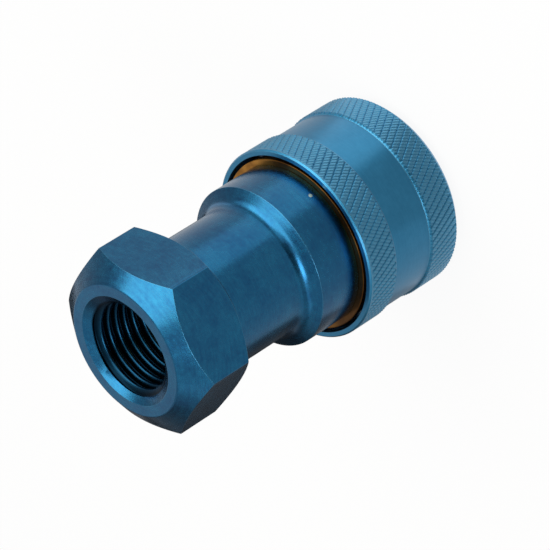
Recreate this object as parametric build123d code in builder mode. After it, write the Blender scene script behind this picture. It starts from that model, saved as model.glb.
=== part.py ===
from build123d import *
import math
import os

# Socket half of a quick coupling for hydraulic hose. It stands on its mouth: the origin is on the axis
# at the mouth face, +Z runs to the hexagon and its threaded port. Lengths are in millimetres.

# Gaps between neighbours, all measured on the radius or along the axis
running_gap = 0.04
seat_gap = 0.02

# Hexagon, neck and barrel of the body
across_flats = 22.0
hex_side_count = 6
hex_length = 11.2
hex_cone_angle = 35.5
port_face_width = 1.52
neck_length = 10.95
shoulder_step = 2.08
shoulder_height = 1.15
shoulder_fillet = 2.0
barrel_step = 2.08
barrel_tail = 6.44

# Threaded port, a quarter inch parallel pipe thread whose bore is modelled at the thread's outer diameter
thread_diameter = 13.157
thread_length = 12.0
countersink_width = 0.9
countersink_depth = 0.62

# Nipple socket and nose
nipple_diameter = 11.8
socket_clearance = 0.05
lead_in_step = 0.4
lead_in_depth = 3.0
mouth_chamfer = 0.6
nose_wall = 3.0
nose_chamfer = 0.4
lip_height = 1.5

# Locking balls and the sleeve's travel
ball_diameter = 4.0
ball_count = 8
ball_travel = 1.0
ball_seat_half_angle = 30
sleeve_stroke = 3.6
ramp_margin = 0.4
ramp_lead = 0.3

# Sleeve
sleeve_setback = 0.6
land_length = 2.0
stop_gap = 0.1
rim_wall = 0.81
knurl_relief = 0.32
rear_knurl_length = 4.7
front_knurl_length = 4.4
front_chamfer = 0.8
rim_chamfer = 0.2
counterbore_play = 0.3

# Ring that holds the sleeve at the mouth
front_ring_thickness = 1.0
front_ring_stand = 1.75
front_ring_groove = 0.6
front_ring_opening = 2.5

# Ring that the sleeve spring pushes on
stop_ring_thickness = 1.1
stop_ring_groove = 0.8
stop_ring_play = 0.48
stop_ring_setback = 0.05
stop_ring_opening = 2.2
stop_ring_chamfer = 0.2

# Sleeve spring, between the barrel and the sleeve
sleeve_spring_wire = 0.9
sleeve_spring_room = 7.36
sleeve_spring_play = 0.205
sleeve_spring_turns = 3.5
wire_side_count = 6

# Nipple seal and its backup ring
seal_section = 1.9
seal_gland_depth = 1.65
seal_gland_side = 1.34
seal_play = 0.25
seal_land = 2.04
seal_side_count = 12
backup_thickness = 1.2

# Valve seat and chamber
throat_diameter = 7.8
throat_length = 1.45
valve_seat_width = 1.25
guide_seat_width = 0.5

# Poppet and its seal
poppet_stroke = 2.5
poppet_seal_section = 1.4
poppet_head_play = 0.65
poppet_head_height = 1.3
poppet_lip_play = 0.3
poppet_lip_width = 0.4
poppet_lip_height = 0.4
poppet_nose_length = 5.5
poppet_nose_chamfer = 0.5
stem_diameter = 3.0
stem_stub = 0.1

# Valve guide, its ring and the valve spring
guide_height = 3.0
guide_rim_wall = 0.9
guide_hub_margin = 0.15
guide_arm_width = 1.6
guide_arm_count = 3
guide_ring_thickness = 1.0
guide_ring_groove = 0.5
guide_ring_depth = 1.25
guide_ring_opening = 2.4
guide_ring_lip = 0.8
valve_spring_wire = 0.7
valve_spring_play = 1.05
valve_spring_turns = 6

# Heights and radii that follow from the sizes above
socket_radius = nipple_diameter / 2 + socket_clearance
lead_in_radius = socket_radius + lead_in_step
nose_radius = socket_radius + nose_wall
barrel_radius = nose_radius + barrel_step
neck_radius = barrel_radius - shoulder_step
land_radius = nose_radius + running_gap
chamber_radius = barrel_radius + sleeve_spring_wire + 2 * sleeve_spring_play
knurl_radius = chamber_radius + rim_wall
middle_radius = knurl_radius - knurl_relief
front_ring_radius = nose_radius + front_ring_stand
stop_ring_radius = chamber_radius - stop_ring_play
stop_ring_seat_radius = barrel_radius - stop_ring_groove

front_ring_foot = lip_height + seat_gap
front_ring_top = front_ring_foot + front_ring_thickness
counterbore_floor = front_ring_top + seat_gap

ball_reach = ball_diameter / 2 + running_gap
ramp_slope = ball_travel / sleeve_stroke
ramp_angle = math.atan(ramp_slope)
ball_height = counterbore_floor + ramp_margin + sleeve_stroke - ball_reach * math.sin(ramp_angle)
ramp_top = ball_height + ball_reach * math.sin(ramp_angle) + ramp_lead
ramp_foot_radius = land_radius + ramp_slope * (ramp_top - counterbore_floor)
ball_orbit = land_radius + ramp_slope * (ramp_top - ball_height) - ball_reach / math.cos(ramp_angle)
ball_seat_top = ball_orbit - ball_reach * math.tan(math.radians(ball_seat_half_angle) / 2)

land_top = ramp_top + land_length
stop_ring_foot = land_top + sleeve_spring_room
stop_ring_top = stop_ring_foot + stop_ring_thickness
sleeve_foot = sleeve_setback
sleeve_top = stop_ring_top + stop_ring_setback

barrel_foot = land_top + sleeve_stroke + stop_gap
barrel_top = stop_ring_top + barrel_tail
neck_foot = barrel_top + shoulder_height
hex_foot = neck_foot + neck_length
overall_height = hex_foot + hex_length

gland_foot = ball_height + ball_reach + seal_gland_side
gland_radius = socket_radius + seal_gland_depth
backup_foot = gland_foot + seat_gap
seal_height = backup_foot + backup_thickness + seat_gap + seal_section / 2
gland_top = seal_height + seal_section / 2 + seal_play
socket_floor = gland_top + seal_land

throat_radius = throat_diameter / 2
valve_chamber_radius = throat_radius + valve_seat_width
seat_foot = socket_floor + throat_length
seat_top = seat_foot + valve_seat_width
seat_contact_radius = throat_radius + valve_seat_width / 2
seat_contact_height = seat_foot + seat_contact_radius - throat_radius
seal_to_seat = (poppet_seal_section / 2 + running_gap) / math.sqrt(2)
poppet_seal_orbit = seat_contact_radius - seal_to_seat
poppet_seal_height = seat_contact_height + seal_to_seat

thread_radius = thread_diameter / 2
countersink_radius = thread_radius + countersink_width
port_face_radius = countersink_radius + port_face_width
thread_foot = overall_height - countersink_depth - thread_length
guide_bore_radius = valve_chamber_radius + guide_seat_width
guide_bore_top = thread_foot - (thread_radius - guide_bore_radius)
guide_ring_top = guide_bore_top - guide_ring_lip - seat_gap
guide_ring_foot = guide_ring_top - guide_ring_thickness
guide_top = guide_ring_foot - seat_gap
guide_foot = guide_top - guide_height
guide_seat = guide_foot - seat_gap

head_foot = poppet_seal_height + poppet_seal_section / 2 + seat_gap
head_top = head_foot + poppet_head_height
poppet_lip_top = poppet_seal_height - poppet_seal_section / 2 - seat_gap
poppet_lip_foot = poppet_lip_top - poppet_lip_height
poppet_nose_foot = poppet_lip_foot - poppet_nose_length
poppet_groove_radius = poppet_seal_orbit - poppet_seal_section / 2 - seat_gap
poppet_lip_radius = throat_radius - poppet_lip_play
poppet_nose_radius = poppet_lip_radius - poppet_lip_width
poppet_head_radius = valve_chamber_radius - poppet_head_play
stem_radius = stem_diameter / 2
valve_spring_radius = stem_radius + valve_spring_play + valve_spring_wire / 2
guide_hub_radius = valve_spring_radius + valve_spring_wire / 2 + guide_hub_margin

os.makedirs("parts", exist_ok=True)


def save(piece, name):
    """Label a finished piece and write it under its own name."""
    piece.part.label = name
    export_step(piece.part, f"parts/{name}.step")


# Body: one turned and milled bar. The hexagon comes first, rounded off by a cone at each end.
corner_radius = across_flats / 2 / math.cos(math.pi / hex_side_count)
cone_rise = math.tan(math.radians(hex_cone_angle))
lower_cone_top = hex_foot + (corner_radius - neck_radius) * cone_rise
upper_cone_foot = overall_height - (corner_radius - port_face_radius) * cone_rise

with BuildPart() as coupling_body:
    with BuildSketch(Plane.XY.offset(hex_foot)):
        RegularPolygon(across_flats / 2, hex_side_count, major_radius=False)
    extrude(amount=hex_length)
    with BuildSketch(Plane.XZ):
        with BuildLine():
            Polyline(
                (0, hex_foot),
                (neck_radius, hex_foot),
                (corner_radius, lower_cone_top),
                (corner_radius, upper_cone_foot),
                (port_face_radius, overall_height),
                (0, overall_height),
                close=True,
            )
        make_face()
    revolve(axis=Axis.Z, mode=Mode.INTERSECT)

    # Neck, shoulder, barrel and nose, in one outline down to the mouth
    with BuildSketch(Plane.XZ):
        with BuildLine():
            Polyline(
                (0, hex_foot),
                (neck_radius, hex_foot),
                (neck_radius, neck_foot),
                (barrel_radius, barrel_top),
                (barrel_radius, barrel_foot),
                (nose_radius, barrel_foot),
                (nose_radius, nose_chamfer),
                (nose_radius - nose_chamfer, 0),
                (0, 0),
                close=True,
            )
        make_face()
    revolve(axis=Axis.Z)
    shoulder_root = [
        edge
        for edge in coupling_body.edges().filter_by(GeomType.CIRCLE)
        if abs(edge.radius - neck_radius) < seat_gap and abs(edge.center().Z - neck_foot) < seat_gap
    ]
    fillet(shoulder_root, shoulder_fillet)

    # Everything bored out from the port down to the mouth
    with BuildSketch(Plane.XZ):
        with BuildLine():
            Polyline(
                (0, overall_height),
                (countersink_radius, overall_height),
                (thread_radius, overall_height - countersink_depth),
                (thread_radius, thread_foot),
                (guide_bore_radius, guide_bore_top),
                (guide_bore_radius, guide_seat),
                (valve_chamber_radius, guide_seat),
                (valve_chamber_radius, seat_top),
                (throat_radius, seat_foot),
                (throat_radius, socket_floor),
                (socket_radius, socket_floor),
                (socket_radius, lead_in_depth + lead_in_step),
                (lead_in_radius, lead_in_depth),
                (lead_in_radius, mouth_chamfer),
                (lead_in_radius + mouth_chamfer, 0),
                (0, 0),
                close=True,
            )
        make_face()
    revolve(axis=Axis.Z, mode=Mode.SUBTRACT)

    # Grooves: nipple seal, valve guide ring, sleeve ring and spring stop ring
    with BuildSketch(Plane.XZ):
        with BuildLine():
            Polyline(
                (0, gland_foot),
                (gland_radius, gland_foot),
                (gland_radius, gland_top),
                (0, gland_top),
                close=True,
            )
        make_face()
        with BuildLine():
            Polyline(
                (0, guide_top),
                (guide_bore_radius + guide_ring_groove, guide_top),
                (guide_bore_radius + guide_ring_groove, guide_ring_top + seat_gap),
                (0, guide_ring_top + seat_gap),
                close=True,
            )
        make_face()
        with BuildLine():
            Polyline(
                (nose_radius - front_ring_groove, lip_height),
                (nose_radius + running_gap, lip_height),
                (nose_radius + running_gap, front_ring_top + seat_gap),
                (nose_radius - front_ring_groove, front_ring_top + seat_gap),
                close=True,
            )
        make_face()
        with BuildLine():
            Polyline(
                (stop_ring_seat_radius, stop_ring_foot - seat_gap),
                (barrel_radius + running_gap, stop_ring_foot - seat_gap),
                (barrel_radius + running_gap, stop_ring_top + seat_gap),
                (stop_ring_seat_radius, stop_ring_top + seat_gap),
                close=True,
            )
        make_face()
    revolve(axis=Axis.Z, mode=Mode.SUBTRACT)

    # Ball holes: bored from outside down to a cone seat, which breaks into the socket too narrow for a ball
    with PolarLocations(ball_seat_top, ball_count):
        with Locations((0, 0, ball_height)):
            Cone(
                ball_reach * (1 - math.tan(math.radians(ball_seat_half_angle))),
                ball_reach,
                ball_reach,
                rotation=(0, 90, 0),
                align=(Align.CENTER, Align.CENTER, Align.MAX),
                mode=Mode.SUBTRACT,
            )
            Cylinder(
                ball_reach,
                nose_radius,
                rotation=(0, 90, 0),
                align=(Align.CENTER, Align.CENTER, Align.MIN),
                mode=Mode.SUBTRACT,
            )
save(coupling_body, "coupling_body")

# Sleeve: a turned shell whose land closes the balls in, and whose ramp lets them out when it is pulled
with BuildPart() as sleeve:
    front_band_foot = sleeve_foot + front_chamfer
    front_band_top = front_band_foot + front_knurl_length
    rear_band_foot = sleeve_top - rear_knurl_length
    counterbore_radius = front_ring_radius + counterbore_play
    with BuildSketch(Plane.XZ):
        with BuildLine():
            Polyline(
                (counterbore_radius, sleeve_foot),
                (knurl_radius - front_chamfer, sleeve_foot),
                (knurl_radius, front_band_foot),
                (knurl_radius, front_band_top),
                (middle_radius, front_band_top + knurl_relief),
                (middle_radius, rear_band_foot - knurl_relief),
                (knurl_radius, rear_band_foot),
                (knurl_radius, sleeve_top - rim_chamfer),
                (knurl_radius - rim_chamfer, sleeve_top),
                (chamber_radius, sleeve_top),
                (chamber_radius, land_top),
                (land_radius, land_top),
                (land_radius, ramp_top),
                (ramp_foot_radius, counterbore_floor),
                (counterbore_radius, counterbore_floor),
                close=True,
            )
        make_face()
    revolve(axis=Axis.Z)
save(sleeve, "sleeve")


def split_ring(inner_radius, outer_radius, foot, thickness, opening, rim_bevel=0.0):
    """A flat ring with a gap at -Y that lets it be sprung into its groove."""
    with BuildPart() as ring:
        with BuildSketch(Plane.XY.offset(foot)):
            Circle(outer_radius)
            Circle(inner_radius, mode=Mode.SUBTRACT)
            with Locations((0, -(inner_radius + outer_radius) / 2)):
                Rectangle(opening, 2 * (outer_radius - inner_radius), mode=Mode.SUBTRACT)
        extrude(amount=thickness)
        if rim_bevel > 0:
            top_arcs = ring.edges().filter_by(GeomType.CIRCLE).group_by(Axis.Z)[-1]
            chamfer(top_arcs.sort_by(lambda arc: arc.radius)[-1], rim_bevel)
    return ring


# Split rings: the sleeve's stop at the mouth, the spring's seat in the barrel and the valve guide's keeper
sleeve_retaining_ring = split_ring(
    nose_radius - front_ring_groove + seat_gap,
    front_ring_radius,
    front_ring_foot,
    front_ring_thickness,
    front_ring_opening,
)
save(sleeve_retaining_ring, "sleeve_retaining_ring")

spring_stop_ring = split_ring(
    stop_ring_seat_radius + running_gap,
    stop_ring_radius,
    stop_ring_foot,
    stop_ring_thickness,
    stop_ring_opening,
    stop_ring_chamfer,
)
save(spring_stop_ring, "spring_stop_ring")

guide_ring_radius = guide_bore_radius + guide_ring_groove - seat_gap
valve_retaining_ring = split_ring(
    guide_ring_radius - guide_ring_depth,
    guide_ring_radius,
    guide_ring_foot,
    guide_ring_thickness,
    guide_ring_opening,
)
save(valve_retaining_ring, "valve_retaining_ring")


def coil_spring(wire, mean_radius, foot, top, turns):
    """A wire wound at one pitch, both ends ground flat where they seat. Its round section is drawn in flats."""
    with BuildPart() as spring:
        with BuildLine(Plane.XY.offset(foot + wire / 4)):
            path = Helix(pitch=(top - foot - wire / 2) / turns, height=top - foot - wire / 2, radius=mean_radius)
        with BuildSketch(Plane(path @ 0, z_dir=path % 0)):
            RegularPolygon(wire / 2, wire_side_count)
        sweep(path=path, is_frenet=True)
        with BuildSketch(Plane.XY.offset(foot)):
            Circle(mean_radius + wire)
        extrude(amount=top - foot, mode=Mode.INTERSECT)
    return spring


# Springs: the sleeve's, between its land and the stop ring, and the valve's, between poppet and guide
sleeve_spring = coil_spring(
    sleeve_spring_wire,
    barrel_radius + sleeve_spring_play + sleeve_spring_wire / 2,
    land_top + seat_gap,
    stop_ring_foot - seat_gap,
    sleeve_spring_turns,
)
save(sleeve_spring, "sleeve_spring")

valve_spring = coil_spring(
    valve_spring_wire,
    valve_spring_radius,
    head_top + seat_gap,
    guide_foot - seat_gap,
    valve_spring_turns,
)
save(valve_spring, "valve_spring")

# Locking balls, each in its own hole
for number in range(1, ball_count + 1):
    turn = math.radians(360 / ball_count * (number - 1))
    with BuildPart() as locking_ball:
        with Locations((ball_orbit * math.cos(turn), ball_orbit * math.sin(turn), ball_height)):
            Sphere(ball_diameter / 2)
    save(locking_ball, f"locking_ball_{number}")


def seal_ring(section, orbit, height):
    """A rubber ring. Its round section is drawn in flats."""
    with BuildPart() as ring:
        with BuildSketch(Plane.XZ):
            with Locations((orbit, height)):
                RegularPolygon(section / 2, seal_side_count)
        revolve(axis=Axis.Z)
    return ring


# Nipple seal in the body's gland, with a harder backup ring on its mouth side
nipple_seal = seal_ring(seal_section, gland_radius - seat_gap - seal_section / 2, seal_height)
save(nipple_seal, "nipple_seal")

with BuildPart() as backup_ring:
    with BuildSketch(Plane.XY.offset(backup_foot)):
        Circle(gland_radius - seat_gap)
        Circle(socket_radius, mode=Mode.SUBTRACT)
    extrude(amount=backup_thickness)
save(backup_ring, "backup_ring")

# Poppet: head with a groove for its seal, a nose that the nipple's own valve pushes, and a guided stem
with BuildPart() as poppet:
    with BuildSketch(Plane.XZ):
        with BuildLine():
            Polyline(
                (0, poppet_nose_foot),
                (poppet_nose_radius - poppet_nose_chamfer, poppet_nose_foot),
                (poppet_nose_radius, poppet_nose_foot + poppet_nose_chamfer),
                (poppet_nose_radius, poppet_lip_foot),
                (poppet_lip_radius, poppet_lip_foot),
                (poppet_lip_radius, poppet_lip_top),
                (poppet_groove_radius, poppet_lip_top),
                (poppet_groove_radius, head_foot),
                (poppet_head_radius, head_foot),
                (poppet_head_radius, head_top),
                (stem_radius, head_top),
                (stem_radius, guide_top + stem_stub),
                (0, guide_top + stem_stub),
                close=True,
            )
        make_face()
    revolve(axis=Axis.Z)
save(poppet, "poppet")

poppet_seal = seal_ring(poppet_seal_section, poppet_seal_orbit, poppet_seal_height)
save(poppet_seal, "poppet_seal")

# Valve guide: a hub for the stem on arms inside a rim, with the oil's way between the arms
guide_radius = guide_bore_radius - seat_gap
with BuildPart() as valve_guide:
    with BuildSketch(Plane.XY.offset(guide_foot)):
        Circle(guide_radius)
        Circle(guide_radius - guide_rim_wall, mode=Mode.SUBTRACT)
        Circle(guide_hub_radius)
        arm_reach = guide_radius - guide_rim_wall / 2
        with PolarLocations(arm_reach / 2, guide_arm_count):
            Rectangle(arm_reach, guide_arm_width)
        Circle(stem_radius + running_gap, mode=Mode.SUBTRACT)
    extrude(amount=guide_height)
save(valve_guide, "valve_guide")
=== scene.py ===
import math

import bmesh
import bpy
from mathutils import Matrix, Vector


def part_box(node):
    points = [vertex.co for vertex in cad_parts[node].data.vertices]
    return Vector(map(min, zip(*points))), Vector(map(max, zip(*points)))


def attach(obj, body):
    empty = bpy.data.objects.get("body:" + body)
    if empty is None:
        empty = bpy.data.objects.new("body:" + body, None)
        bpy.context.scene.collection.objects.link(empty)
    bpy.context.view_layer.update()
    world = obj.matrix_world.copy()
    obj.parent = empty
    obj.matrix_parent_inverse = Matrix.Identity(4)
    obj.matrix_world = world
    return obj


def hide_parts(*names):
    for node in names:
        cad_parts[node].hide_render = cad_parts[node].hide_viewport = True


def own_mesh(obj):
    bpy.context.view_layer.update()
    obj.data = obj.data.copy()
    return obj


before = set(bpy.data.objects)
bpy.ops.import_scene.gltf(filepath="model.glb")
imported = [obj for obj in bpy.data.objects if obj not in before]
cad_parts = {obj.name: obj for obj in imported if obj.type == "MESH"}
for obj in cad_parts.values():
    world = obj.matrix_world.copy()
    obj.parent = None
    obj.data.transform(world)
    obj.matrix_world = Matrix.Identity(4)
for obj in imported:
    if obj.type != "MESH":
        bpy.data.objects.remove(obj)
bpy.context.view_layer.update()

# The view. The coupling stands on its mouth, while it was photographed lying down, so the camera is
# rolled until the axis runs from lower left to upper right. A long lens keeps the perspective flat.
mm = 0.001
view_target = Vector((2.0, 0.0, 21.95)) * mm
view_distance = 438.4 * mm
view_azimuth = math.radians(105.69)
view_elevation = math.radians(34.70)
view_roll = math.radians(-122.36)
film_width = 36.0
focal_length = 229.1
nearest_seen = 10 * mm


def direction(azimuth, elevation):
    """The way from the origin to a point seen at that azimuth and elevation."""
    flat = math.cos(elevation)
    return Vector((flat * math.cos(azimuth), flat * math.sin(azimuth), math.sin(elevation)))


def facing(azimuth, elevation, roll=0.0):
    """Turns a camera or lamp, which looks down its own -Z, back at the middle."""
    swing = Matrix.Rotation(azimuth + math.pi / 2, 3, "Z")
    tip = Matrix.Rotation(math.pi / 2 - elevation, 3, "X")
    return (swing @ tip @ Matrix.Rotation(roll, 3, "Z")).to_euler()


camera = bpy.data.objects.new("camera", bpy.data.cameras.new("camera"))
camera.data.sensor_width = film_width
camera.data.lens = focal_length
camera.data.clip_start = nearest_seen
camera.location = view_target + view_distance * direction(view_azimuth, view_elevation)
camera.rotation_euler = facing(view_azimuth, view_elevation, view_roll)
bpy.context.scene.collection.objects.link(camera)
bpy.context.scene.camera = camera

# Body. One bar of aluminium, turned all over and milled to a hexagon, then anodised blue. The port is
# cut with a quarter inch pipe thread, and the nose is drilled for eight locking balls.
body_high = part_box("coupling_body")[1]
overall_height = body_high.z
corner_radius = body_high.x
across_flats = 2 * corner_radius * math.cos(math.pi / 6)
hex_foot = 35.84 * mm
hex_cone_rise = math.tan(math.radians(35.5))
hex_edge = 0.25 * mm
port_face_radius = 9.0 * mm
port_face_round = 0.4 * mm
neck_radius = 8.95 * mm
neck_foot = 24.89 * mm
shoulder_fillet = 2.0 * mm
barrel_radius = 11.03 * mm
barrel_top = 23.74 * mm
barrel_foot = 12.54 * mm
nose_radius = 8.95 * mm
machined_edge = 0.07 * mm
lap = 0.5 * mm


class Value:
    """A socket of a material, so that sums on it add the Math nodes they need."""

    def __init__(self, finish, socket):
        self.finish = finish
        self.socket = socket

    def math(self, operation, first, second):
        return self.finish.node("Math", {"operation": operation}, {0: first, 1: second})

    def __add__(self, other):
        return self.math("ADD", self, other)

    def __radd__(self, other):
        return self.math("ADD", other, self)

    def __sub__(self, other):
        return self.math("SUBTRACT", self, other)

    def __rsub__(self, other):
        return self.math("SUBTRACT", other, self)

    def __mul__(self, other):
        return self.math("MULTIPLY", self, other)

    def __rmul__(self, other):
        return self.math("MULTIPLY", other, self)

    def __truediv__(self, other):
        return self.math("DIVIDE", self, other)

    def __rtruediv__(self, other):
        return self.math("DIVIDE", other, self)


class Finish:
    """A material's nodes. node() adds any node: its settings first, then its sockets' values or links.
    The other methods are short ways to ask it for the nodes that come back in each finish."""

    def __init__(self, name, world=None):
        self.material = world or bpy.data.materials.new(name)
        self.material.use_nodes = True
        self.tree = self.material.node_tree
        self.tree.nodes.clear()

    def node(self, kind, settings=None, sockets=None, out=0):
        made = self.tree.nodes.new("ShaderNode" + kind)
        for name, value in (settings or {}).items():
            setattr(made, name, value)
        for name, value in (sockets or {}).items():
            if isinstance(value, Value):
                self.tree.links.new(value.socket, made.inputs[name])
            else:
                made.inputs[name].default_value = value
        return Value(self, made.outputs[out]) if made.outputs else None

    def noise(self, place, scale, detail=3.0, roughness=0.5):
        sockets = {"Vector": place, "Scale": scale, "Detail": detail, "Roughness": roughness}
        return self.node("TexNoise", {}, sockets)

    def distance(self, place, point):
        return self.node("VectorMath", {"operation": "DISTANCE"}, {0: place, 1: point}, out="Value")

    def clamped(self, value):
        return self.node("Clamp", {}, {"Value": value})

    def stretched(self, value, none_at, full_at):
        """0 where the value is at the first limit, 1 at the second, and even between them."""
        return self.node("MapRange", {}, {"Value": value, "From Min": none_at, "From Max": full_at})

    def blend(self, share, low, high):
        """A colour between two, by a share from 0 to 1. Mix has a set of sockets for each kind of value,
        with names in common, so those for colours go by number."""
        settings = {"data_type": "RGBA", "clamp_factor": True}
        return self.node("Mix", settings, {0: share, 6: low, 7: high}, out=2)

    def bump(self, height, distance):
        return self.node("Bump", {}, {"Height": height, "Distance": distance})

    def surface(self, **sockets):
        """The shader itself, and its way out."""
        named = {name.replace("_", " "): value for name, value in sockets.items()}
        shader = self.node("BsdfPrincipled", {}, named)
        self.node("OutputMaterial", {}, {"Surface": shader})
        return self.material


def set_up(name, mesh, material=None):
    """Makes an object of a finished mesh and puts it in the scene."""
    data = bpy.data.meshes.new(name)
    mesh.to_mesh(data)
    mesh.free()
    if material:
        data.materials.append(material)
    made = bpy.data.objects.new(name, data)
    bpy.context.scene.collection.objects.link(made)
    return made


def soften(points, radius, steps=2, fillets=None):
    """Rounds each corner of an open outline, and keeps what lies between flat with a point beside each arc.
    A corner whose number is in fillets gets that radius. Returns (radius, height, wear_sheen_and_shade)
    for each point, where that value is 1 on a small arc, whose skin wears first and which also gets a
    painted highlight. No small arc takes more than a share of the sides that it joins."""
    fillets = fillets or {}
    fillet_steps = 12
    most_of_side = 0.3
    beside_arc = 1.5
    found = [(*points[0], 0.0)]
    for number in range(1, len(points) - 1):
        before, corner, after = [Vector(point) for point in points[number - 1 : number + 2]]
        into = (corner - before).normalized()
        onward = (after - corner).normalized()
        turn = into.angle(onward)
        if number in fillets:
            reach = fillets[number] * math.tan(turn / 2)
            count, wear_and_sheen = fillet_steps, 0.0
        else:
            room = most_of_side * min((corner - before).length, (after - corner).length)
            reach = min(radius * math.tan(turn / 2), room)
            count, wear_and_sheen = steps, 1.0
        found.append((*(corner - into * reach * beside_arc), 0.0))
        start = corner - into * reach
        end = corner + onward * reach
        for step in range(count + 1):
            share = step / count
            bowed = (1 - share) ** 2 * start + 2 * share * (1 - share) * corner + share**2 * end
            found.append((*bowed, wear_and_sheen))
        found.append((*(corner + onward * reach * beside_arc), 0.0))
    found.append((*points[-1], 0.0))
    return found


class Skin:
    """A mesh laid down ring by ring round the axis. The columns stand at given angles."""

    touching = 0.0002 * mm

    def __init__(self, name, angles):
        self.name = name
        self.angles = angles
        self.mesh = bmesh.new()
        self.wear_sheen_and_shade = self.mesh.verts.layers.float.new("wear_sheen_and_shade")

    def vertex(self, angle, radius, height, wear_sheen_and_shade):
        made = self.mesh.verts.new((radius * math.cos(angle), radius * math.sin(angle), height))
        made[self.wear_sheen_and_shade] = wear_sheen_and_shade
        return made

    def ring(self, places):
        """One ring from (radius, height, wear_sheen_and_shade) for each column."""
        return [self.vertex(angle, *place) for angle, place in zip(self.angles, places)]

    def plain(self, place):
        return self.ring([place] * len(self.angles))

    def wall(self, rings):
        """Faces from each ring to the next, all the way round."""
        count = len(self.angles)
        for lower, upper in zip(rings, rings[1:]):
            for j in range(count):
                k = (j + 1) % count
                self.mesh.faces.new((lower[j], lower[k], upper[k], upper[j])).smooth = True

    def finish(self, body_name, slot, material):
        """Merges points that fall together, and makes the object on its body. The slot is not used."""
        bmesh.ops.remove_doubles(self.mesh, verts=self.mesh.verts, dist=self.touching)
        bmesh.ops.recalc_face_normals(self.mesh, faces=self.mesh.faces)
        made = set_up(self.name, self.mesh, material)
        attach(made, body_name)
        return made


def hexagon_radius(angle):
    """How far the milled flats stand from the axis, with the corners rounded a little."""
    side = math.pi / 3
    from_corner = (angle + side / 2) % side - side / 2
    flat = across_flats / 2
    centre = (flat - hex_edge) / math.cos(side / 2)
    on_corner = hex_edge**2 - (centre * math.sin(from_corner)) ** 2
    straight = flat / math.cos(side / 2 - abs(from_corner))
    if on_corner <= 0:
        return straight
    return min(straight, centre * math.cos(from_corner) + math.sqrt(on_corner))


# The columns stand evenly, in degrees, with a few more beside each corner of the hexagon
column_step = 1.5
beside_corner = (-0.9, -0.56, -0.28, 0.28, 0.56, 0.9)
columns = [column_step * k for k in range(round(360 / column_step))]
columns += [60 * corner + side for corner in range(6) for side in beside_corner]
body_angles = [math.radians(a) for a in sorted(set(round(a % 360, 6) for a in columns))]
body = Skin("body_bar", body_angles)

# The hexagon, from the port face down to the neck: a cone, the flats, and the second cone
hexagon_columns = []
for angle in body_angles:
    flat_radius = hexagon_radius(angle)
    cone_top = overall_height - (flat_radius - port_face_radius) * hex_cone_rise
    cone_foot = hex_foot + (flat_radius - neck_radius) * hex_cone_rise
    side_outline = [
        (port_face_radius - lap, overall_height),
        (port_face_radius, overall_height),
        (flat_radius, cone_top),
        (flat_radius, cone_foot),
        (neck_radius, hex_foot),
        (neck_radius, hex_foot - lap),
    ]
    hexagon_columns.append(soften(side_outline, machined_edge, fillets={1: port_face_round}))
body_rings = [body.ring(places) for places in zip(*hexagon_columns)]

# Neck, shoulder, barrel and nose, then in through the mouth and up to the thread
neck_start = neck_foot + 3 * mm
stop_groove_radius = 10.23 * mm
stop_groove_foot = 16.18 * mm
stop_groove_top = 17.32 * mm
ring_groove_radius = 8.35 * mm
ring_groove_foot = 1.50 * mm
ring_groove_top = 2.54 * mm
nose_chamfer = 0.40 * mm
lead_in_radius = 6.35 * mm
lead_in_chamfer = 0.60 * mm
lead_in_top = 3.00 * mm
socket_radius = 5.95 * mm
socket_foot = 3.40 * mm
socket_top = 14.804 * mm
gland_radius = 7.60 * mm
gland_foot = 9.374 * mm
gland_top = 12.764 * mm
throat_radius = 3.90 * mm
throat_top = 16.254 * mm
valve_chamber_radius = 5.15 * mm
valve_chamber_foot = 17.504 * mm
guide_bore_radius = 5.65 * mm
guide_bore_foot = 28.632 * mm
guide_bore_top = 33.4915 * mm
guide_groove_radius = 6.15 * mm
guide_groove_foot = 31.652 * mm
guide_groove_top = 32.692 * mm
thread_radius = 6.5785 * mm
thread_foot = 34.42 * mm
thread_top = 46.42 * mm
thread_lead = 0.3 * mm
countersink_radius = 7.4785 * mm
turned_outline = [
    (neck_radius, neck_start),
    (neck_radius, neck_foot),
    (barrel_radius, barrel_top),
    (barrel_radius, stop_groove_top),
    (stop_groove_radius, stop_groove_top),
    (stop_groove_radius, stop_groove_foot),
    (barrel_radius, stop_groove_foot),
    (barrel_radius, barrel_foot),
    (nose_radius, barrel_foot),
    (nose_radius, ring_groove_top),
    (ring_groove_radius, ring_groove_top),
    (ring_groove_radius, ring_groove_foot),
    (nose_radius, ring_groove_foot),
    (nose_radius, nose_chamfer),
    (nose_radius - nose_chamfer, 0.0),
    (lead_in_radius + lead_in_chamfer, 0.0),
    (lead_in_radius, lead_in_chamfer),
    (lead_in_radius, lead_in_top),
    (socket_radius, socket_foot),
    (socket_radius, gland_foot),
    (gland_radius, gland_foot),
    (gland_radius, gland_top),
    (socket_radius, gland_top),
    (socket_radius, socket_top),
    (throat_radius, socket_top),
    (throat_radius, throat_top),
    (valve_chamber_radius, valve_chamber_foot),
    (valve_chamber_radius, guide_bore_foot),
    (guide_bore_radius, guide_bore_foot),
    (guide_bore_radius, guide_groove_foot),
    (guide_groove_radius, guide_groove_foot),
    (guide_groove_radius, guide_groove_top),
    (guide_bore_radius, guide_groove_top),
    (guide_bore_radius, guide_bore_top),
    (thread_radius - thread_lead, thread_foot - thread_lead),
]
turned_outline = soften(turned_outline, machined_edge, fillets={1: shoulder_fillet})
body_rings += [body.plain(place) for place in turned_outline]

# The thread: its rings climb with the helix, and its ridges die out in the countersink and at the foot
pitch = 1.337 * mm
ridge_height = 0.80 * mm
root_flat = 0.1
flank = 0.8
rings_per_pitch = 12
# Shade is painted into the thread: near black at the roots, less on the crests, fading at both ends
root_shade = 0.95
crest_shade = 0.6
shade_fade_length = 0.12 * mm
countersink_slope = (countersink_radius - thread_radius) / (overall_height - thread_top)


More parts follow.
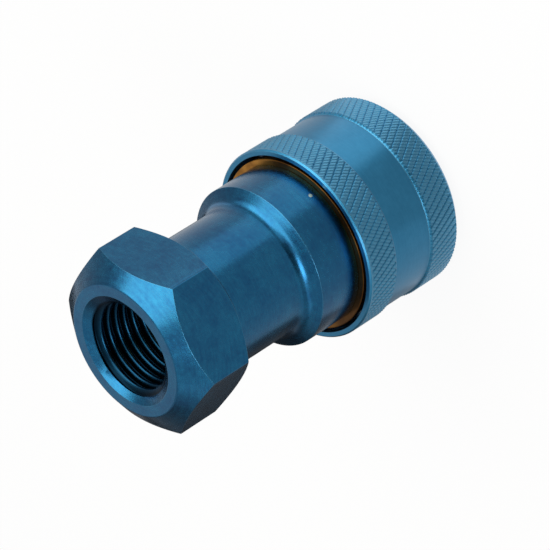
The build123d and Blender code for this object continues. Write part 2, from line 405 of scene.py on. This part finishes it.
def thread_wall(share, height):
    """Radius of the thread's wall, by the share of a pitch since the last root, and the shade painted
    there.
    """
    up_flank = min(1.0, max(0.0, (1 - abs(2 * share - 1) - root_flat) / flank))
    rise = 0.5 - 0.5 * math.cos(math.pi * up_flank)
    ridge = thread_radius - ridge_height * rise
    cone = countersink_radius - (overall_height - height) * countersink_slope
    run_out = thread_radius - (height - thread_foot)
    groove_shade = root_shade + rise**2 * (crest_shade - root_shade)
    near_end = min(thread_top - height, height - thread_foot) / shade_fade_length
    wall = max(ridge, min(thread_radius, cone), min(thread_radius, run_out))
    return wall, groove_shade * min(1.0, near_end)


last_climb = math.ceil((thread_top - thread_foot) / pitch * rings_per_pitch)
climbing = {}
for climb in range(-rings_per_pitch, last_climb + 1):
    places = []
    for angle in body_angles:
        rise = pitch * (climb / rings_per_pitch + angle / (2 * math.pi))
        height = min(thread_top, max(thread_foot, thread_foot + rise))
        wall, groove_shade = thread_wall((climb / rings_per_pitch) % 1, height)
        places.append((wall, height, -groove_shade))
    climbing[climb] = body.ring(places)

# A ring's last column meets the first column of the ring one pitch up, where the helix comes round
for climb in range(-rings_per_pitch, last_climb):
    for j in range(len(body_angles)):
        if j + 1 < len(body_angles):
            beside = climbing[climb][j + 1]
            beside_above = climbing[climb + 1][j + 1]
        else:
            beside = climbing[min(climb + rings_per_pitch, last_climb)][0]
            beside_above = climbing[min(climb + 1 + rings_per_pitch, last_climb)][0]
        corners = [climbing[climb][j], beside, beside_above, climbing[climb + 1][j]]
        if beside_above is beside:
            del corners[2]
        body.mesh.faces.new(corners).smooth = True

countersink = [
    (thread_radius, thread_top),
    (countersink_radius, overall_height),
    (port_face_radius - lap, overall_height),
]
countersink = soften(countersink, machined_edge)
body.wall(body_rings + [climbing[-rings_per_pitch]])
body.wall([climbing[last_climb]] + [body.plain(place) for place in countersink[1:-1]] + [body_rings[0]])

# Its skin. The flats carry the arcs of a face cutter, and the barrel has one nick down to bare metal
cutter_centre = (0, 0, 53 * mm)
milled_from = 10.85 * mm
milled_fade = 4000
lathe_lines = 9000
lathe_breaks = 3
cutter_lines = 5200
cutter_breaks = 6
nick_place = (-6.64 * mm, 8.80 * mm, 18.55 * mm)
nick_radius = 0.28 * mm
nick_floor = 0.2 * mm
nick_raggedness = 0.3 * mm
nick_colour = (0.80, 0.72, 0.50, 1)
# Painted shade in the thread's grooves and the knurl's pits darkens towards this colour
painted_shade_colour = (0.001, 0.003, 0.006, 1)
# Paler edges, partly wear and partly a painted highlight, take this share of their colour
wear_and_sheen_share = 0.2


def anodised(name, deep, pale, wear_and_sheen, roughness, grain, marks, coat):
    """Dyed anodic skin on turned metal: fine rings round the axis, a cloudy dye, a satin grain and paler
    edges, partly wear and partly a painted highlight. The hexagon's flats, beyond milled_from, carry the
    cutter's arcs instead. Where wear_sheen_and_shade is below 0, shade is painted: the colour goes
    towards near black and the coat thins."""
    finish = Finish(name)
    place = finish.node("TexCoord", out="Object")
    height = finish.node("SeparateXYZ", {}, {0: place}, out="Z")
    flat = finish.node("VectorMath", {"operation": "MULTIPLY"}, {0: place, 1: (1, 1, 0)})
    from_axis = finish.node("VectorMath", {"operation": "LENGTH"}, {0: flat}, out="Value")
    around = finish.node("VectorMath", {"operation": "NORMALIZE"}, {0: flat})
    x = finish.node("SeparateXYZ", {}, {0: around}, out="X")
    y = finish.node("SeparateXYZ", {}, {0: around}, out="Y")

    along = (height + from_axis) * lathe_lines
    turned_place = finish.node("CombineXYZ", {}, {0: x * lathe_breaks, 1: y * lathe_breaks, 2: along})
    turned = finish.noise(turned_place, scale=1.0, roughness=0.6)
    swept = finish.distance(place, cutter_centre) * cutter_lines
    milled_place = finish.node("CombineXYZ", {}, {0: x * cutter_breaks, 1: y * cutter_breaks, 2: swept})
    milled = finish.noise(milled_place, scale=1.0, roughness=0.65)
    on_hexagon = finish.clamped((height - hex_foot) * milled_fade)
    on_flats = on_hexagon * finish.clamped((from_axis - milled_from) * milled_fade)
    lines = turned + (milled - turned) * on_flats

    cloud = finish.noise(place, scale=240.0, detail=6.0, roughness=0.68)
    mottle = finish.noise(place, scale=1500.0, detail=4.0, roughness=0.7)
    speck = finish.noise(place, scale=5200.0, detail=2.0, roughness=0.7)
    wear_sheen_and_shade = finish.node("Attribute", {"attribute_name": "wear_sheen_and_shade"}, out="Fac")
    # Painted shade: below 0 the colour goes towards near black and the coat thins
    painted_shade = finish.clamped(wear_sheen_and_shade * -1)
    from_nick = finish.distance(place, nick_place) + (speck - 0.5) * nick_raggedness
    nick = finish.stretched(from_nick, none_at=nick_radius, full_at=nick_floor)

    blotch = cloud * 0.42 + mottle * 0.3 + lines * 0.28
    dye = finish.stretched(blotch, none_at=0.38, full_at=0.62)
    colour = finish.blend(dye, deep, pale)
    colour = finish.blend(wear_sheen_and_shade * wear_and_sheen_share, colour, wear_and_sheen)
    colour = finish.blend(nick, colour, nick_colour)
    colour = finish.blend(painted_shade, colour, painted_shade_colour)
    gloss = roughness + (cloud - 0.5) * 0.14 + (mottle - 0.5) * 0.16 + (speck - 0.5) * 0.1
    relief = lines * marks + milled * on_flats * 0.5 + mottle * (0.4 * grain) + speck * grain
    return finish.surface(
        Base_Color=colour,
        Metallic=1.0,
        Roughness=gloss,
        Coat_Weight=(1 - painted_shade) * coat,
        Coat_Roughness=0.24,
        Coat_IOR=1.5,
        Normal=finish.bump(relief, 0.02 * mm),
    )


body_skin = anodised(
    "anodised_body",
    deep=(0.001, 0.090, 0.230, 1),
    pale=(0.010, 0.175, 0.345, 1),
    wear_and_sheen=(0.150, 0.430, 0.580, 1),
    roughness=0.25,
    grain=0.3,
    marks=0.5,
    coat=0.42,
)
body_bar = body.finish("body", "anodised_body", body_skin)
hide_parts("coupling_body")

# The eight ball holes go in from outside and stop at a cone, which keeps the balls from falling through
balls = 8
ball_height = 5.994 * mm
ball_hole_radius = 2.04 * mm
ball_hole_sides = 48
ball_seat = 6.56 * mm
ball_seat_depth = 1.5 * mm
ball_seat_angle = math.radians(30)
drill_stages = (
    (ball_seat - ball_seat_depth, ball_hole_radius - ball_seat_depth * math.tan(ball_seat_angle)),
    (ball_seat, ball_hole_radius),
    (nose_radius + lap, ball_hole_radius),
)
ball_holes = bmesh.new()
for number in range(balls):
    swing = Matrix.Rotation(math.radians(360 / balls) * number, 4, "Z")
    swing = swing @ Matrix.Translation((0, 0, ball_height)) @ Matrix.Rotation(math.pi / 2, 4, "Y")
    rows = []
    for out, radius in drill_stages:
        turns = [2 * math.pi * k / ball_hole_sides for k in range(ball_hole_sides)]
        points = [Vector((radius * math.cos(turn), radius * math.sin(turn), out)) for turn in turns]
        rows.append([ball_holes.verts.new(swing @ point) for point in points])
    for lower, upper in zip(rows, rows[1:]):
        for k in range(ball_hole_sides):
            j = (k + 1) % ball_hole_sides
            ball_holes.faces.new((lower[k], lower[j], upper[j], upper[k])).smooth = True
    ball_holes.faces.new(rows[0])
    ball_holes.faces.new(rows[-1])
bmesh.ops.recalc_face_normals(ball_holes, faces=ball_holes.faces)
ball_drill = set_up("ball_drill", ball_holes)
drilling = body_bar.modifiers.new("ball_holes", "BOOLEAN")
drilling.operation = "DIFFERENCE"
drilling.solver = "EXACT"
drilling.object = ball_drill
bpy.context.view_layer.update()
drilled_bar = body_bar.evaluated_get(bpy.context.evaluated_depsgraph_get())
body_bar.data = bpy.data.meshes.new_from_object(drilled_bar)
body_bar.modifiers.clear()
sharp_from = math.radians(50)
body_bar.data.set_sharp_from_angle(angle=sharp_from)
bpy.data.objects.remove(ball_drill)

# Sleeve. A turned aluminium shell, anodised a paler and more matt blue than the body. Two bands are
# rolled with a diamond knurl for the fingers, and its thin rear rim stands round the stop ring.
sleeve_low, sleeve_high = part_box("sleeve")
sleeve_foot = sleeve_low.z
sleeve_top = sleeve_high.z
knurl_radius = sleeve_high.x
knurl_relief = 0.32 * mm
middle_radius = knurl_radius - knurl_relief
middle_round = 0.12 * mm
turned_edge = 0.04 * mm
inner_edge = 0.05 * mm
front_chamfer = 0.80 * mm
front_face_inner = 12.00 * mm
front_band_foot = sleeve_foot + front_chamfer
front_band_top = front_band_foot + 4.40 * mm
rear_band_foot = sleeve_top - 4.70 * mm
rim_bevel = 0.2 * mm
rim_foot = sleeve_top - rim_bevel
rim_inner = knurl_radius - 0.44 * mm
spring_chamber_radius = 12.34 * mm
spring_chamber_foot = 8.84 * mm
land_radius = 8.99 * mm
land_foot = 6.84 * mm
ramp_radius = 10.19 * mm
ring_space_radius = 11.00 * mm
ring_space_top = 2.54 * mm

# The knurl. One wheel rolled 78 grooves, and the other tracked double, so that its own lie twice as close
grooves = 78
groove_columns = 10
sleeve_columns = grooves * groove_columns
wide_groove_depth = 0.12 * mm
wide_groove_reach = 1.8
fine_groove_depth = 0.075 * mm
fine_groove_reach = 1.4
groove_slant = math.radians(31.5)
diamond_height = 2 * math.pi * knurl_radius / grooves / math.tan(groove_slant)
run_out_length = 0.4 * mm
run_out_depth = 0.15
# Crests are painted paler, as wear and as a painted highlight, and shade is painted into the pits
crest_wear_and_sheen = 1.2
pit_shade = 0.9


def wide_groove(share):
    """Depth of the first wheel's grooves, by the share of a pitch since the last one. Each is a V, which
    reaches as many columns to each side as wide_groove_reach says."""
    near = abs((share + 0.5) % 1 - 0.5)
    return wide_groove_depth * max(0.0, 1 - near * groove_columns / wide_groove_reach)


def fine_groove(share):
    """Depth of the second wheel's grooves, by the same share."""
    near = abs((2 * share + 0.5) % 1 - 0.5) / 2
    return fine_groove_depth * max(0.0, 1 - near * groove_columns / fine_groove_reach)


def both_grooves(angle, height, foot):
    """Depths of the two families of grooves at a point. They die out at the rim."""
    turn = grooves * angle / (2 * math.pi)
    climb = (height - foot) / diamond_height
    bite = min(1.0, max(run_out_depth, (rim_foot - height) / run_out_length))
    return bite * wide_groove(turn + climb), bite * fine_groove(turn - climb)


def knurled(radius, angle, height, foot):
    """Radius of a stretch that the knurl's grooves may run over."""
    return min(radius, knurl_radius - max(both_grooves(angle, height, foot)))


def knurl_place(angle, height, foot):
    """A point of a band. Its crests are paler, as wear and as a painted highlight, and shade is painted
    darkest in the pits where grooves cross.
    """
    wide, fine = both_grooves(angle, height, foot)
    share = (wide + fine) / (wide_groove_depth + fine_groove_depth)
    return knurl_radius - max(wide, fine), height, crest_wear_and_sheen - share * (crest_wear_and_sheen + pit_shade)


sleeve_angles = [2 * math.pi * k / sleeve_columns for k in range(sleeve_columns)]
sleeve = Skin("sleeve_shell", sleeve_angles)


def band_rings(foot, top):
    """Rings of one knurled band: they stand where the grooves cross the columns."""
    step = diamond_height / groove_columns
    heights = [foot + step * k for k in range(math.ceil((top - foot) / step))] + [top]
    return [
        sleeve.ring([knurl_place(angle, height, foot) for angle in sleeve_angles])
        for height in heights
    ]


def join_band(rings):
    """Faces of a band, each split along the groove that runs through or beside it."""
    for j, (lower, upper) in enumerate(zip(rings, rings[1:])):
        for i in range(sleeve_columns):
            k = (i + 1) % sleeve_columns
            wide = wide_groove((i + j + 1) / groove_columns)
            if fine_groove((i - j) / groove_columns) > wide:
                faces = ((lower[i], lower[k], upper[k]), (lower[i], upper[k], upper[i]))
            else:
                faces = ((lower[i], lower[k], upper[i]), (lower[k], upper[k], upper[i]))
            for corners in faces:
                sleeve.mesh.faces.new(corners)


def band_edge(points, foot, radius=turned_edge, steps=1):
    """Rings of the plain stretches outside, with the grooves running out over their edges."""
    return [
        sleeve.ring([(knurled(r, angle, height, foot), height, wear_sheen_and_shade) for angle in sleeve_angles])
        for r, height, wear_sheen_and_shade in soften(points, radius, steps)
    ]


# Its walls, from the mouth up outside and back down inside. Rings that a band already has are cut off
inside_outline = [
    (rim_inner, sleeve_top),
    (spring_chamber_radius, sleeve_top),
    (spring_chamber_radius, spring_chamber_foot),
    (land_radius, spring_chamber_foot),
    (land_radius, land_foot),
    (ramp_radius, ring_space_top),
    (ring_space_radius, ring_space_top),
    (ring_space_radius, sleeve_foot),
    (front_face_inner, sleeve_foot),
]
front_outline = [
    (front_face_inner, sleeve_foot),
    (knurl_radius - front_chamfer, sleeve_foot),
    (knurl_radius, front_band_foot),
    (knurl_radius, front_band_foot + 0.02 * mm),
]
middle_outline = [
    (knurl_radius, front_band_top),
    (middle_radius, front_band_top + knurl_relief),
    (middle_radius, rear_band_foot - knurl_relief),
    (knurl_radius, rear_band_foot),
]
rear_outline = [
    (knurl_radius, rim_foot - 0.04 * mm),
    (knurl_radius - 0.02 * mm, rim_foot),
    (knurl_radius - rim_bevel, sleeve_top),
    (knurl_radius - rim_bevel - 0.1 * mm, sleeve_top),
]
inside = soften(inside_outline, inner_edge, steps=1)
front_edge = band_edge(front_outline, front_band_foot)[1:-3]
front_band = band_rings(front_band_foot, front_band_top)
middle = band_edge(middle_outline, front_band_foot, radius=middle_round, steps=2)[1:-1]
rear_band = band_rings(rear_band_foot, rim_foot - 0.05 * mm)
rear_edge = band_edge(rear_outline, rear_band_foot)[1:-1]
sleeve.wall(front_edge + [front_band[0]])
join_band(front_band)
sleeve.wall([front_band[-1]] + middle + [rear_band[0]])
join_band(rear_band)
inner_rings = [sleeve.plain(place) for place in inside[:-1]]
sleeve.wall([rear_band[-1]] + rear_edge + inner_rings + [front_edge[0]])

sleeve_skin = anodised(
    "anodised_sleeve",
    deep=(0.026, 0.225, 0.425, 1),
    pale=(0.040, 0.280, 0.505, 1),
    wear_and_sheen=(0.300, 0.640, 0.780, 1),
    roughness=0.38,
    grain=0.4,
    marks=0.2,
    coat=0.4,
)
sleeve_shell = sleeve.finish("sleeve", "anodised_sleeve", sleeve_skin)
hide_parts("sleeve")

# Spring stop ring. A split ring of brass wire, rolled flat and sprung into a groove of the barrel. The
# sleeve's spring pushes on its far side, and its outer edge is left round.
stop_low, stop_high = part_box("spring_stop_ring")
stop_outer = stop_high.x
stop_inner = 10.27 * mm
stop_middle = (stop_inner + stop_outer) / 2
stop_foot = stop_low.z
stop_top = stop_high.z
stop_round = 0.13 * mm
stop_gap = 2.2 * mm
stop_columns = 220
gap_half = math.asin(stop_gap / 2 / stop_outer)
gap_end = -math.pi / 2 + gap_half
stop_sweep = 2 * math.pi - 2 * gap_half
stop_section = [
    (stop_middle, stop_foot),
    (stop_outer, stop_foot),
    (stop_outer, stop_top),
    (stop_inner, stop_top),
    (stop_inner, stop_foot),
    (stop_middle - 0.1 * mm, stop_foot),
]
stop_angles = [gap_end + stop_sweep * k / (stop_columns - 1) for k in range(stop_columns)]
stop_wire = Skin("stop_ring", stop_angles)
stop_rows = [stop_wire.plain(place) for place in soften(stop_section, stop_round, steps=4)]
for lower, upper in zip(stop_rows, stop_rows[1:] + stop_rows[:1]):
    for j in range(stop_columns - 1):
        corners = (lower[j], lower[j + 1], upper[j + 1], upper[j])
        stop_wire.mesh.faces.new(corners).smooth = True
stop_wire.mesh.faces.new([row[0] for row in stop_rows])
stop_wire.mesh.faces.new([row[-1] for row in stop_rows])

# Shade is painted on the ring: the side at this azimuth is much darker than the other, with a cloudy border
ring_shade_azimuth = math.radians(85)
ring_shade_side = (math.cos(ring_shade_azimuth), math.sin(ring_shade_azimuth), 0)
ring_shade_most = 0.85
brass_dark = (0.22, 0.085, 0.010, 1)
brass_light = (0.54, 0.245, 0.040, 1)
brass_shade_colour = (0.045, 0.016, 0.004, 1)
brass = Finish("brass_ring")
brass_place = brass.node("TexCoord", out="Object")
brass_speck = brass.noise(brass_place, scale=2600.0)
brass_cloud = brass.noise(brass_place, scale=420.0)
towards_ring_shade = brass.node(
    "VectorMath", {"operation": "DOT_PRODUCT"}, {0: brass_place, 1: ring_shade_side}, out="Value"
)
towards_ring_shade = towards_ring_shade / stop_outer + (brass_cloud - 0.5) * 0.3
ring_shade_share = brass.stretched(towards_ring_shade, none_at=-0.15, full_at=0.3)
brass_tone = brass.stretched(brass_cloud, none_at=0.35, full_at=0.65)
brass_colour = brass.blend(brass_tone, brass_dark, brass_light)
brass_ring = brass.surface(
    Base_Color=brass.blend(ring_shade_share * ring_shade_most, brass_colour, brass_shade_colour),
    Metallic=0.93,
    Roughness=0.22 + (brass_speck - 0.5) * 0.2,
    Normal=brass.bump(brass_speck, 0.01 * mm),
)
stop_ring = stop_wire.finish("spring_seat", "brass_ring", brass_ring)
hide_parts("spring_stop_ring")


# Springs. Round spring wire, wound cold, with the ends ground flat to seat. One pushes the sleeve to the
# mouth, the other closes the valve.
def metal(name, light, dark, roughness, bump=0.006 * mm):
    """Bare metal with a fine uneven finish."""
    finish = Finish(name)
    noise = finish.noise(finish.node("TexCoord", out="Object"), scale=1800.0)
    return finish.surface(
        Base_Color=finish.blend(noise, dark, light),
        Metallic=1.0,
        Roughness=roughness + (noise - 0.5) * 0.2,
        Normal=finish.bump(noise, bump),
    )


spring_steel = metal(
    "spring_steel", light=(0.56, 0.57, 0.60, 1), dark=(0.36, 0.37, 0.40, 1), roughness=0.28
)


def wound_spring(name, node, wire, turns, body_name):
    """Wire on a helix that fills the node's box, its ends pressed flat."""
    steps_per_turn = 64
    wire_sides = 16
    low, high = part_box(node)
    mean = high.x - wire / 2
    foot = low.z + wire / 4
    rise = high.z - low.z - wire / 2
    steps = round(steps_per_turn * turns)
    coil = bmesh.new()
    rings = []
    for step in range(steps + 1):
        share = step / steps
        angle = 2 * math.pi * turns * share
        ring = []
        for side in range(wire_sides):
            swing = 2 * math.pi * side / wire_sides
            radius = mean + wire / 2 * math.cos(swing)
            height = foot + rise * share + wire / 2 * math.sin(swing)
            height = min(high.z, max(low.z, height))
            ring.append(coil.verts.new((radius * math.cos(angle), radius * math.sin(angle), height)))
        rings.append(ring)
    for first, second in zip(rings, rings[1:]):
        for side in range(wire_sides):
            other = (side + 1) % wire_sides
            corners = (first[side], first[other], second[other], second[side])
            coil.faces.new(corners).smooth = True
    coil.faces.new(rings[0])
    coil.faces.new(rings[-1])
    bmesh.ops.recalc_face_normals(coil, faces=coil.faces)
    made = set_up(name, coil, spring_steel)
    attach(made, body_name)
    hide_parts(node)
    return made


def shorten(spring):
    """Gives a spring a copy of its mesh of its own."""
    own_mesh(spring)


sleeve_coil = wound_spring(
    "sleeve_coil", "sleeve_spring", wire=0.9 * mm, turns=3.5, body_name="spring_seat"
)
shorten(sleeve_coil)
valve_coil = wound_spring("valve_coil", "valve_spring", wire=0.7 * mm, turns=6, body_name="body")
shorten(valve_coil)

# Seals. Two rings of black rubber, each moulded in one piece with a round section. The larger lies in
# the body's gland and grips the nipple, and the smaller is stretched over the valve's head.
rubber = Finish("seal_rubber")
rubber_noise = rubber.noise(rubber.node("TexCoord", out="Object"), scale=2400.0)
seal_rubber = rubber.surface(
    Base_Color=rubber.blend(rubber_noise, (0.012, 0.012, 0.013, 1), (0.03, 0.03, 0.032, 1)),
    Roughness=0.55 + rubber_noise * 0.15,
    Normal=rubber.bump(rubber_noise, 0.01 * mm),
)


def moulded_ring(name, node, body_name):
    """A rubber ring of round section that fills the node's box."""
    ring_columns = 96
    section_sides = 24
    low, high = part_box(node)
    section = (high.z - low.z) / 2
    centre = high.x - section
    middle_height = (low.z + high.z) / 2
    ring = Skin(name, [2 * math.pi * k / ring_columns for k in range(ring_columns)])
    rows = []
    for k in range(section_sides):
        swing = 2 * math.pi * k / section_sides
        radius = centre + section * math.cos(swing)
        rows.append(ring.plain((radius, middle_height + section * math.sin(swing), 0.0)))
    ring.wall(rows + rows[:1])
    made = ring.finish(body_name, "seal_rubber", seal_rubber)
    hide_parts(node)


moulded_ring("nipple_seal_ring", "nipple_seal", "body")
moulded_ring("poppet_seal_ring", "poppet_seal", "poppet")

# The rest of the insides keep their solids. The valve and its guide are turned from brass, the locking
# balls are hard polished steel, the two split rings are blackened steel, sprung into their grooves, and
# the backup ring beside the nipple's seal is cut from white plastic.
valve_brass = metal(
    "valve_brass", light=(0.74, 0.52, 0.22, 1), dark=(0.50, 0.33, 0.12, 1), roughness=0.3
)
ball_steel = metal(
    "ball_steel",
    light=(0.80, 0.81, 0.83, 1),
    dark=(0.72, 0.73, 0.75, 1),
    roughness=0.1,
    bump=0.001 * mm,
)
ring_steel = metal("ring_steel", light=(0.16, 0.16, 0.17, 1), dark=(0.08, 0.08, 0.09, 1), roughness=0.4)
plastic = Finish("backup_plastic")
plastic_noise = plastic.noise(plastic.node("TexCoord", out="Object"), scale=900.0, detail=2.0)
backup_plastic = plastic.surface(
    Base_Color=plastic.blend(plastic_noise, (0.72, 0.70, 0.64, 1), (0.80, 0.78, 0.73, 1)),
    Roughness=0.4 + plastic_noise * 0.1,
)
inner_finishes = {
    "poppet": valve_brass,
    "valve_guide": valve_brass,
    "sleeve_retaining_ring": ring_steel,
    "valve_retaining_ring": ring_steel,
    "backup_ring": backup_plastic,
}
inner_finishes.update({f"locking_ball_{number + 1}": ball_steel for number in range(balls)})
for node, material in inner_finishes.items():
    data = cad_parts[node].data
    data.materials.clear()
    data.materials.append(material)

# The floor and the light. A plain white floor keeps the coupling's shadow, and is clear from below, so
# that the mouth can be looked at. The world is white to look at, and two soft lamps add to its light.
# Grey cards that glow at a fixed level stand round the coupling, seen only in reflections, and show as
# painted reflections, darker bands in its metal.
floor_size = 3.0
floor_drop = 0.02 * mm
floor_whiteness = 0.92
sky_strength = 0.6
white = (1, 1, 1, 1)


def looked_at(finish):
    """1 where the camera, a reflection or anything clear looks at it, and 0 where it only gives light."""
    rays = ("Is Camera Ray", "Is Glossy Ray", "Is Transmission Ray")
    camera_ray, glossy_ray, clear_ray = [finish.node("LightPath", out=ray) for ray in rays]
    return finish.clamped(camera_ray + glossy_ray + clear_ray)


ground = Finish("floor")
ground_matt = ground.node("BsdfDiffuse", {}, {"Color": (0.8, 0.8, 0.8, 1)})
ground_white = ground.node("Emission", {}, {"Color": white, "Strength": 1.0})
ground_share = looked_at(ground) * floor_whiteness
ground_top = ground.node("MixShader", {}, {0: ground_share, 1: ground_matt, 2: ground_white})
from_below = ground.node("NewGeometry", out="Backfacing")
ground_clear = ground.node("BsdfTransparent")
ground_skin = ground.node("MixShader", {}, {0: from_below, 1: ground_top, 2: ground_clear})
ground.node("OutputMaterial", {}, {"Surface": ground_skin})
floor_mesh = bmesh.new()
bmesh.ops.create_grid(floor_mesh, x_segments=1, y_segments=1, size=floor_size)
floor = set_up("floor", floor_mesh, ground.material)
floor.location.z = -floor_drop

world = bpy.data.worlds.new("world")
bpy.context.scene.world = world
sky = Finish("world", world)
sky_light = sky.node("Background", {}, {"Color": white, "Strength": sky_strength})
sky_white = sky.node("Background", {}, {"Color": white, "Strength": 1.0})
sky_skin = sky.node("MixShader", {}, {0: looked_at(sky), 1: sky_light, 2: sky_white})
sky.node("OutputWorld", {}, {"Surface": sky_skin})


def softbox(name, azimuth, elevation, distance, width, height, power, colour):
    """A soft lamp that looks at the coupling from that side."""
    lamp = bpy.data.lights.new(name, "AREA")
    lamp.shape = "RECTANGLE"
    lamp.size = width
    lamp.size_y = height
    lamp.energy = power
    lamp.color = colour
    made = bpy.data.objects.new(name, lamp)
    turn, lift = math.radians(azimuth), math.radians(elevation)
    made.location = view_target + distance * direction(turn, lift)
    made.rotation_euler = facing(turn, lift)
    bpy.context.scene.collection.objects.link(made)


softbox(
    "key",
    azimuth=172,
    elevation=54,
    distance=0.5,
    width=0.44,
    height=0.54,
    power=1.75,
    colour=(1.0, 0.98, 0.88),
)
softbox(
    "side",
    azimuth=62,
    elevation=51,
    distance=0.5,
    width=0.19,
    height=0.19,
    power=0.55,
    colour=(1.0, 1.0, 1.0),
)


def flag(name, start, end, near, far, level):
    """A curved grey card between two circles round the coupling, each a radius and a height in mm. It
    glows at its level, lights nothing, and shows only as a painted reflection in the metal."""
    folds = 24
    card = bmesh.new()
    rows = []
    for fold in range(folds + 1):
        turn = math.radians(start + (end - start) * fold / folds)
        ends = [(r * mm * math.cos(turn), r * mm * math.sin(turn), z * mm) for r, z in (near, far)]
        rows.append([card.verts.new(place) for place in ends])
    for first, second in zip(rows, rows[1:]):
        card.faces.new((first[0], second[0], second[1], first[1]))
    grey = Finish(name)
    shine = grey.node("Emission", {}, {"Color": white, "Strength": level})
    grey.node("OutputMaterial", {}, {"Surface": shine})
    made = set_up(name, card, grey.material)
    made.visible_camera = False
    made.visible_diffuse = False
    made.visible_shadow = False
    made.visible_transmission = False


# The cards that lie on the floor: first and last azimuth, inner and outer radius in mm, brightness
floor_lift = 0.3
for name, start, end, inner, outer, level in (
    ("flag_under_sleeve", -100, -45, 14, 36, 0.07),
    ("flag_under", -100, -45, 36, 62, 0.02),
    ("flag_under_far", -100, -75, 62, 400, 0.02),
    ("flag_low_sleeve", -45, 0, 14, 36, 0.3),
    ("flag_low", -45, 0, 36, 62, 0.07),
    ("flag_low_far", -75, 0, 62, 790, 0.2),
    ("flag_right_sleeve", 0, 68, 14, 36, 0.57),
    ("flag_right", 0, 68, 36, 400, 0.52),
    ("flag_front_sleeve", 68, 133, 14, 36, 0.42),
    ("flag_front", 68, 133, 36, 400, 0.5),
    ("flag_left", 182, 260, 14, 400, 0.6),
):
    flag(name, start, end, (inner, floor_lift), (outer, floor_lift), level)

# The cards that stand upright: first and last azimuth, radius, foot and top in mm, brightness
for name, start, end, radius, foot, top, level in (
    ("flag_near_under", 285, 303, 55, floor_lift, 28, 0.03),
    ("flag_near", 303, 330, 55, floor_lift, 40, 0.03),
    ("flag_side", 290, 350, 800, floor_lift, 430, 0.12),
    ("flag_low_behind", 255, 290, 800, floor_lift, 120, 0.3),
    ("flag_low_key", 118, 218, 800, floor_lift, 330, 0.45),
    ("flag_low_right", -10, 66, 800, floor_lift, 520, 0.4),
    ("flag_camera", 66, 118, 800, floor_lift, 800, 0.12),
    ("flag_side_high", 290, 350, 800, 430, 800, 0.4),
    ("flag_back", 218, 262, 800, 120, 900, 0.35),
    ("flag_behind", 262, 290, 800, 120, 900, 0.62),
):
    flag(name, start, end, (radius, foot), (radius, top), level)
flag("flag_above", 0, 360, (1, 900), (700, 700), 0.52)

bpy.context.scene.view_settings.view_transform = "Standard"
